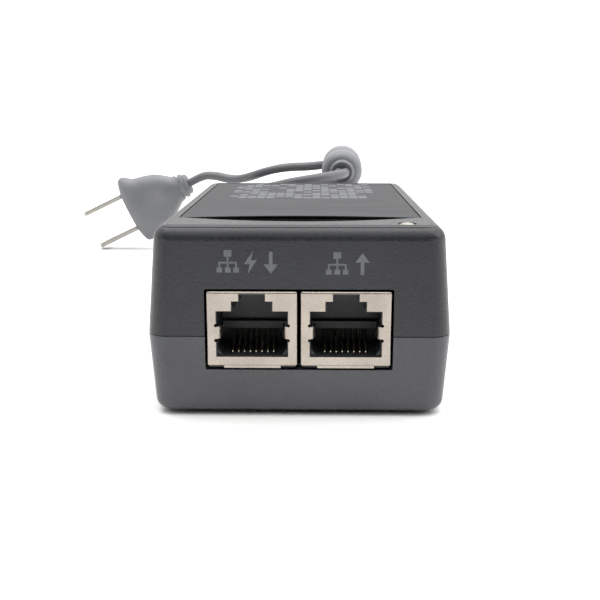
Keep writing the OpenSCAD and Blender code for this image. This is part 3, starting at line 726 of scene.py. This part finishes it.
lampShape = {"radius": 1.5, "flange": 1.75, "base": 28.6, "domeBase": 32.4, "dome": 0.78}
lampProfile = [(0, lampShape["base"]), (lampShape["flange"], lampShape["base"]), (lampShape["flange"], 29.6),
               (lampShape["radius"], 29.65), (lampShape["radius"], lampShape["domeBase"])]
for angle in range(10, 91, 10):
    a = math.radians(angle)
    height = lampShape["domeBase"] + lampShape["dome"] * math.sin(a)
    lampProfile.append((lampShape["radius"] * math.cos(a), height))
lampPiece = lathe("statusLamp", lampProfile, 48)
lampPiece.data.transform(Matrix.Translation((lampPlace[0] * mm, lampPlace[1] * mm, 0)))
hand(lampPiece, "statusLamp", lensEpoxy, ("status_led",), weigh=False)
print("label, feet and lamp made")


# printed signs over the ports: a network tree, a bolt and an arrow, all plain shapes
def square(x, z, wide, high):
    u, v = wide / 2, high / 2
    return [(x - u, z - v), (x + u, z - v), (x + u, z + v), (x - u, z + v)]


def networkSign(x, z):
    return [square(x, z + 1.5, 1.3, 1.1), square(x, z + 0.45, 0.3, 1), square(x, z - 0.05, 3.1, 0.3)] + \
           [square(x + s, z - 0.55, 0.3, 0.7) for s in (-1.4, 0, 1.4)] + \
           [square(x + s, z - 1.3, 0.95, 0.85) for s in (-1.4, 0, 1.4)]


def bolt(x, z):
    return [[(x + 0.5, z + 2), (x - 1.1, z - 0.3), (x - 0.1, z - 0.3), (x - 0.5, z - 2),
             (x + 1.1, z + 0.4), (x + 0.1, z + 0.4)]]


def arrow(x, z, way):
    points = [(-0.3, -1.8), (0.3, -1.8), (0.3, 0.3), (1.2, 0.3), (0, 1.9), (-1.2, 0.3), (-0.3, 0.3)]
    return [[(x + u, z + v * way) for u, v in points][::way]]


def printedSigns(name, shapes):
    points, faces = [], []
    slope = case["endDraft"] / (case["high"] - case["edge"] - case["parting"])
    for shape in shapes:
        start, count = len(points), len(shape)
        for proud in (-0.025, 0.04):
            points += [(x, front + slope * (z - case["parting"]) + proud, z) for x, z in shape]
        faces.append(tuple(range(start, start + count)))
        faces.append(tuple(range(start + count, start + 2 * count))[::-1])
        for i in range(count):
            j = (i + 1) % count
            faces.append((start + i, start + count + i, start + count + j, start + j))
    return newPiece(name, points, faces, mm)


signs = {"leftTree": (-11.9, 27.0), "leftBolt": (-8.1, 27.0), "leftArrow": (-4.7, 27.0),
         "rightTree": (6.4, 26.7), "rightArrow": (10.6, 26.7)}
leftSigns = networkSign(*signs["leftTree"]) + bolt(*signs["leftBolt"]) + arrow(*signs["leftArrow"], -1)
rightSigns = networkSign(*signs["rightTree"]) + arrow(*signs["rightArrow"], 1)
signPiece = printedSigns("portSigns", leftSigns + rightSigns)
hand(signPiece, "portSigns", printInk, weigh=False)

# network ports, drawn with the front face at y = 0 and the board at z = 0

jack = {"wide": 15.4, "high": 13.3, "long": 18, "sheet": 0.3, "boardTop": 8.8, "half": 7.95,
        "pitch": 1.016, "wire": 0.23, "pivot": (3, 2.3), "wireLong": 7.9, "slope": 24.6}
# the window in the shield's face, which narrows in two steps to take the latch; nicks free the earth tabs
window = {"half": 6.12, "low": 1.95, "high": 9.9, "stepHalf": 3.5, "stepHigh": 11.6, "latchHalf": 2.25,
          "latchHigh": 12.9, "nick": 0.28, "nickHeights": (4.8, 7.4), "tabHeight": 6.1}


def shieldPiece():
    w, h, l, t = jack["wide"] / 2, jack["high"], jack["long"], jack["sheet"]
    box = block((-w, 0, 0.25), (w, l, h), 0.4, 4)
    tools = [block((-w + t, t, -1), (w - t, l - t, h - t), 0.15),
             block((-window["half"], -1, window["low"]), (window["half"], 1.3, window["high"])),
             block((-window["stepHalf"], -1, 9), (window["stepHalf"], 1.3, window["stepHigh"])),
             block((-window["latchHalf"], -1, 9), (window["latchHalf"], 1.3, window["latchHigh"]))]
    tools += [bar((side * (window["half"] + 0.03), -1, z), "y", window["nick"], 2, 24)
              for side in (-1, 1) for z in window["nickHeights"]]
    carve(box, tools)
    softenEdges(box, 0.05)
    tongue = block((-4.85, 0.02, -0.05), (4.85, t, 0.5), 0.08)  # middle of the lower edge, a little proud
    parts = [box, tongue]
    for side in (-1, 1):
        low, high = sorted((side * w, side * (w - t)))
        parts.append(block((low, 12.3, -2.6), (high, 13.7, 0.4), 0.06))  # board tab
        # earth tab, sheared from the window's side and curled inwards
        curl = [Vector((side * x, y, window["tabHeight"])) * mm for x, y in
                ((6.3, 0.14), (6.08, 0.2), (5.75, 0.42), (5.45, 0.75), (5.3, 1.2), (5.25, 2), (5.3, 3.2))]
        tab = [(1.05, 0.12), (0.9, 0.14), (-0.9, 0.14), (-1.05, 0.12), (-1.05, -0.12), (1.05, -0.12)]
        parts.append(sweep("tab", curl, tab))
    return joinPieces("shield", parts)


# wedges in the bore's lower corners, and a lip across its back
def liningPiece():
    parts = []
    for side in (-1, 1):
        rings = []
        for y, run in ((0.5, 0.9), (4.5, 0.85), (9.3, 0.8)):
            rings.append([(side * 5.93, y, 2.12), (side * (5.93 - run), y, 2.12),
                          (side * 5.93, y, 2.12 + run * 1.3)])
        wedge = loft("wedge", rings, unit=mm)
        softenEdges(wedge, 0.08)
        parts.append(wedge)
    lip = block((-5.9, 8.2, 4.85), (5.9, 9.45, 6.3), 0.14)
    parts.append(lip)
    return joinPieces("lining", parts)


def wireX(i):
    return (i - 3.5) * jack["pitch"]


# lower run of each wire, from its board pin forward to the bend
def tailsPiece():
    parts = []
    for i in range(8):
        x, back = wireX(i), (12.2 if i % 2 == 0 else 14.7)
        bend = [(back, -4.4), (back, -2), (back, 0.6), (back - 0.12, 1.05), (back - 0.55, 1.2), (8, 1.2),
                (4, 1.2), (3.2, 1.2), (2.86, 1.28), (2.64, 1.5), (2.6, 1.78), (2.7, 2.04)]
        path = [Vector((x, y, z)) * mm for y, z in bend]
        parts.append(sweep("tail", path, circle(jack["wire"] - 0.005, 12), upward=(1, 0, 0)))
    return joinPieces("tails", parts)


# sprung upper run of each wire
def wiresPiece():
    parts = []
    rise = math.radians(jack["slope"])
    y0, z0 = jack["pivot"]
    for i in range(8):
        x = wireX(i)
        bend = [(2.7, 2.04), (2.82, 2.19), (y0, z0)]
        for share in (0.05, 0.12, 0.25, 0.45, 0.65, 0.85, 0.96, 1):
            reach = jack["wireLong"] * share
            bend.append((y0 + reach * math.cos(rise), z0 + reach * math.sin(rise)))
        path = [Vector((x, y, z)) * mm for y, z in bend]
        parts.append(sweep("wire", path, circle(jack["wire"], 12), upward=(1, 0, 0)))
    return joinPieces("wires", parts)


for side, name in ((-1, "left"), (1, "right")):
    seat = Matrix.Translation(Vector((side * jack["half"], front, jack["boardTop"])) * mm)
    shield, lining, tails, wires = shieldPiece(), liningPiece(), tailsPiece(), wiresPiece()
    for part in (shield, lining, tails, wires):
        part.data.transform(seat)
    hand(shield, name + "JackShield", nickelPlate, (name + "_jack_shield",))
    hand(lining, name + "JackLining", jackNylon)
    hand(tails, name + "JackTails", goldFlash, (name + "_jack_pins",), weigh=False)
    hand(wires, name + "ContactWires", goldFlash, (name + "_contacts",),
         body=name + "_contacts", weigh=False)
print("ports made")

# finishes for the parts that keep their own shape

# solder-masked glass-epoxy: dark green with paler tracks and a weave underneath
maskedLaminate = makeMaterial("solderMaskedLaminate", {
    "colour": "0f4a2a", "second": "17613a", "roughness": 0.32, "mottle": 5, "grain": 0.5, "deep": 0.01,
    "spacing": 2.54, "across": "X", "profile": "SAW", "lineColour": "2b7a4c", "waver": 6, "lineHeight": 3})
# thin insulating sheet: cloudy white that lets some light through
polyesterSheet = makeMaterial("milkyPolyesterSheet", {
    "colour": "e6e1d2", "second": "dcd6c4", "roughness": 0.4, "clear": 0.2, "mottle": 10, "grain": 0.6,
    "deep": 0.01})
# zinc plating with a yellowish passivation that drifts over the screw heads
zincSteel = makeMaterial("zincPlatedSteel", {
    "colour": "c9ccd0", "second": "d6d2bd", "roughness": 0.34, "metallic": 1, "mottle": 1.5, "grain": 0.15,
    "deep": 0.004})
# tinned wire: dull silver, softer than steel
tinnedCopper = makeMaterial("tinnedCopper", {
    "colour": "d3d5d6", "second": "bfc1c2", "roughness": 0.36, "metallic": 1, "mottle": 0.8, "grain": 0.12,
    "deep": 0.004})
# stamped sheet aluminium: brushed along its length
millAluminium = makeMaterial("millFinishAluminium", {
    "colour": "d9dadc", "second": "cbccce", "roughness": 0.38, "metallic": 1, "mottle": 6, "grain": 0.3,
    "deep": 0.004, "spacing": 0.2, "across": "Z", "lineColour": "c6c8ca", "waver": 2, "lineHeight": 0.5})
# pressed and fired ferrite: dull, slightly pitted grey
firedFerrite = makeMaterial("firedFerrite", {
    "colour": "34353a", "second": "44454a", "roughness": 0.62, "mottle": 1.8, "grain": 0.16, "deep": 0.03})
# moulded package: almost black and matt, with a fine sandy tooth
epoxyMoulding = makeMaterial("epoxyMouldingCompound", {
    "colour": "18181a", "second": "222225", "roughness": 0.58, "mottle": 2, "grain": 0.1, "deep": 0.012})
# enamelled copper wire laid side by side: glossy red-brown turns, each painted paler along its raised crest
# as a painted highlight
enamelledCopper = makeMaterial("enamelledCopperWinding", {
    "colour": "a5532a", "second": "8e4420", "roughness": 0.28, "mottle": 2, "grain": 0.3, "deep": 0.06,
    "spacing": 0.5, "across": "Y", "lineColour": "c9794a", "lineHeight": 3, "waver": 0.4})
# winding tape: glossy yellow, with each turn showing as a step
polyesterTape = makeMaterial("polyesterWindingTape", {
    "colour": "d6b93e", "second": "c8a931", "roughness": 0.26, "mottle": 4, "grain": 0.4, "deep": 0.02,
    "spacing": 3.2, "across": "Z", "profile": "SAW", "lineColour": "e2ca63", "lineHeight": 2, "waver": 0.2})
# heat-shrunk sleeve with a paler stripe down one side
shrunkSleeve = makeMaterial("shrunkPvcSleeve", {
    "colour": "1c2340", "second": "222a4c", "roughness": 0.3, "mottle": 3, "grain": 0.5, "deep": 0.012,
    "spacing": 12, "across": "X", "profile": "TRI", "lineColour": "39446a", "lineHeight": 0, "waver": 0})
# dipped coatings: thick rounded skins with a soft orange-peel shine
dippedBlue = makeMaterial("dippedBlueEpoxy", {
    "colour": "2a5fa8", "second": "2f6bb8", "roughness": 0.34, "mottle": 1.5, "grain": 0.35, "deep": 0.04})
dippedGreen = makeMaterial("dippedGreenSilicone", {
    "colour": "2b3f2c", "second": "35493a", "roughness": 0.5, "mottle": 1.5, "grain": 0.3, "deep": 0.04})
# cast box: plain strong yellow, semi-matt
yellowBox = makeMaterial("filmCapacitorBox", {
    "colour": "d9ab2e", "second": "cf9f25", "roughness": 0.45, "mottle": 4, "grain": 0.2, "deep": 0.015})
# old-fashioned moulding powder: warm brown with a dull polish
brownMoulding = makeMaterial("brownPhenolic", {
    "colour": "5a3320", "second": "67402a", "roughness": 0.48, "mottle": 2, "grain": 0.2, "deep": 0.015})
# off-white package, chalky
whiteMoulding = makeMaterial("whiteMouldingCompound", {
    "colour": "dcdcd8", "second": "d0d0ca", "roughness": 0.5, "mottle": 2, "grain": 0.12, "deep": 0.01})
# lacquered tan body crossed by dark rings
bandedLacquer = makeMaterial("bandedResistorLacquer", {
    "colour": "c8ab78", "second": "bd9f6c", "roughness": 0.35, "mottle": 1.5, "grain": 0.2, "deep": 0.01,
    "spacing": 1.5, "across": "X", "lineColour": "5c3a22", "lineHeight": 0, "waver": 0})
# hook-up wire: dull violet-grey jacket
wirePvc = makeMaterial("wireInsulationPvc", {
    "colour": "4a3a5a", "second": "55456a", "roughness": 0.4, "mottle": 2, "grain": 0.2, "deep": 0.01})
# contact carrier: duller than the housing, so it stays in shadow behind the comb
insertNylon = makeMaterial("insertNylon", {
    "colour": "1e1f22", "second": "26272a", "roughness": 0.6, "mottle": 2, "grain": 0.15, "deep": 0.012})

finishes = {
    "case_screws": zincSteel, "circuit_board": maskedLaminate, "insulation_sheet": polyesterSheet,
    "left_jack_housing": jackNylon, "right_jack_housing": jackNylon, "left_jack_insert": insertNylon,
    "right_jack_insert": insertNylon, "led_legs": tinnedCopper, "led_spacer": jackNylon,
    "input_fuse": brownMoulding, "surge_thermistor": dippedGreen, "mains_filter_capacitor": yellowBox,
    "line_choke_core": firedFerrite, "line_choke_windings": enamelledCopper,
    "bridge_rectifier": epoxyMoulding, "bulk_capacitor": shrunkSleeve,
    "switching_transistor": epoxyMoulding, "primary_heatsink": millAluminium,
    "transformer_core": firedFerrite, "transformer_bobbin": epoxyMoulding,
    "transformer_winding": polyesterTape, "safety_capacitor": dippedBlue,
    "output_rectifier": epoxyMoulding, "output_heatsink": millAluminium,
    "output_capacitors": shrunkSleeve, "output_inductor": firedFerrite, "optocoupler": whiteMoulding,
    "control_chip": epoxyMoulding, "resistors": bandedLacquer, "mains_wires": wirePvc,
}
for name, material in finishes.items():
    for place in nodes[name].material_slots:
        place.material = material
print("inner parts finished")

# table and light

tableTop = {"half": 30, "near": -5, "far": 60}  # metres, so large that its far edge stays out of sight
table = newPiece("table", [(-tableTop["half"], tableTop["near"], 0), (tableTop["half"], tableTop["near"], 0),
                           (tableTop["half"], tableTop["far"], 0), (-tableTop["half"], tableTop["far"], 0)],
                 [(0, 1, 2, 3)])
tableLook = {"colour": "fbfbfa", "second": "fdfdfc", "roughness": 0.7, "mottle": 60, "grain": 2, "deep": 0.01}
table.data.materials.append(makeMaterial("whiteLaminateTable", tableLook))

studio = {"sky": 1.1, "dim": 0.05, "dimBelow": 0.35, "dimAhead": 0.1, "sun": 0.9, "sunSpread": 110,
          "sunTilt": (-12, 6)}
world = bpy.data.worlds.new("studio")
world.use_nodes = True
scene.world = world
air = world.node_tree
backdrop = air.nodes["Background"]
ray = addNode(air, "TexCoord").outputs["Generated"]
toward = addNode(air, "SeparateXYZ", {}, {"Vector": ray})
# white all round, except for the dim side of the room behind the camera, which brightens higher up
ahead = addNode(air, "MapRange", {"From Min": -studio["dimAhead"], "From Max": -studio["dimAhead"] - 0.35,
                                  "To Min": 0, "To Max": 1}, {"Value": toward.outputs["Y"]})
low = addNode(air, "MapRange", {"From Min": studio["dimBelow"] + 0.45, "From Max": studio["dimBelow"],
                                "To Min": 0, "To Max": 1}, {"Value": toward.outputs["Z"]})
both = addNode(air, "Math", {"operation": "MULTIPLY"}, {0: ahead.outputs["Result"], 1: low.outputs["Result"]})
level = addNode(air, "MapRange", {"To Min": studio["sky"], "To Max": studio["dim"]},
                {"Value": both.outputs[0]})
seen = addNode(air, "LightPath").outputs["Is Camera Ray"]  # plain white wherever the backdrop itself shows
plain = addNode(air, "Math", {"operation": "MAXIMUM"}, {0: level.outputs["Result"], 1: seen})
air.links.new(plain.outputs[0], backdrop.inputs["Strength"])
backdrop.inputs["Color"].default_value = (1, 1, 1, 1)


# places and sizes in metres, power in watts
def softbox(name, place, aim, size, power):
    light = bpy.data.lights.new(name, "AREA")
    light.shape = "RECTANGLE"
    light.size, light.size_y = size
    light.energy = power
    lamp = bpy.data.objects.new(name, light)
    lamp.location = place
    lamp.rotation_euler = (Vector(aim) - Vector(place)).to_track_quat("-Z", "Y").to_euler()
    scene.collection.objects.link(lamp)


softbox("overhead", place=(0, 0.15, 0.9), aim=(0, 0.05, 0), size=(1.2, 0.9), power=7)
daylight = bpy.data.lights.new("openSky", "SUN")
daylight.energy = studio["sun"]
daylight.angle = math.radians(studio["sunSpread"])
skyLamp = bpy.data.objects.new("openSky", daylight)
skyLamp.rotation_euler = (math.radians(studio["sunTilt"][0]), math.radians(studio["sunTilt"][1]), 0)
scene.collection.objects.link(skyLamp)
softbox("rightFill", place=(0.9, -0.1, 0.6), aim=(0, 0, 0.02), size=(0.5, 0.6), power=2)
scene.view_settings.view_transform = "Standard"
scene.view_settings.look = "None"
print("table and light set")
